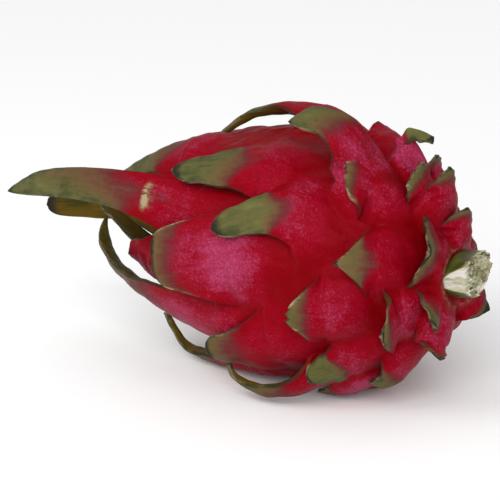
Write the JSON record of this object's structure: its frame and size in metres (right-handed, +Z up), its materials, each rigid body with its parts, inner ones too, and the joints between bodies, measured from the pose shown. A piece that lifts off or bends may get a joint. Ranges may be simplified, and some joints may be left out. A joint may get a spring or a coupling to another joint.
{
  "type": "dragon fruit",
  "caption": "Whole pink dragon fruit lying on its side, with green-tipped leafy bracts, long straps at the blossom end and a cut stem stub.",
  "frame": {"origin": "on the surface that the fruit lies on, in the middle of the flat spot under its girth", "axes": "+X along the fruit's own axis towards the stem end, +Z up, -Y towards the side that the picture shows"},
  "size_m": [0.1955, 0.11, 0.1053],
  "materials": {
    "fruit_skin": "satin waxy skin, crimson to magenta, olive green towards the tips of the bracts",
    "stem_skin": "satin green cactus stem with a pale fibrous cut face"
  },
  "bodies": {
    "root": {"fruit": "fruit_skin", "stem": "stem_skin"}
  },
  "joints": []
}
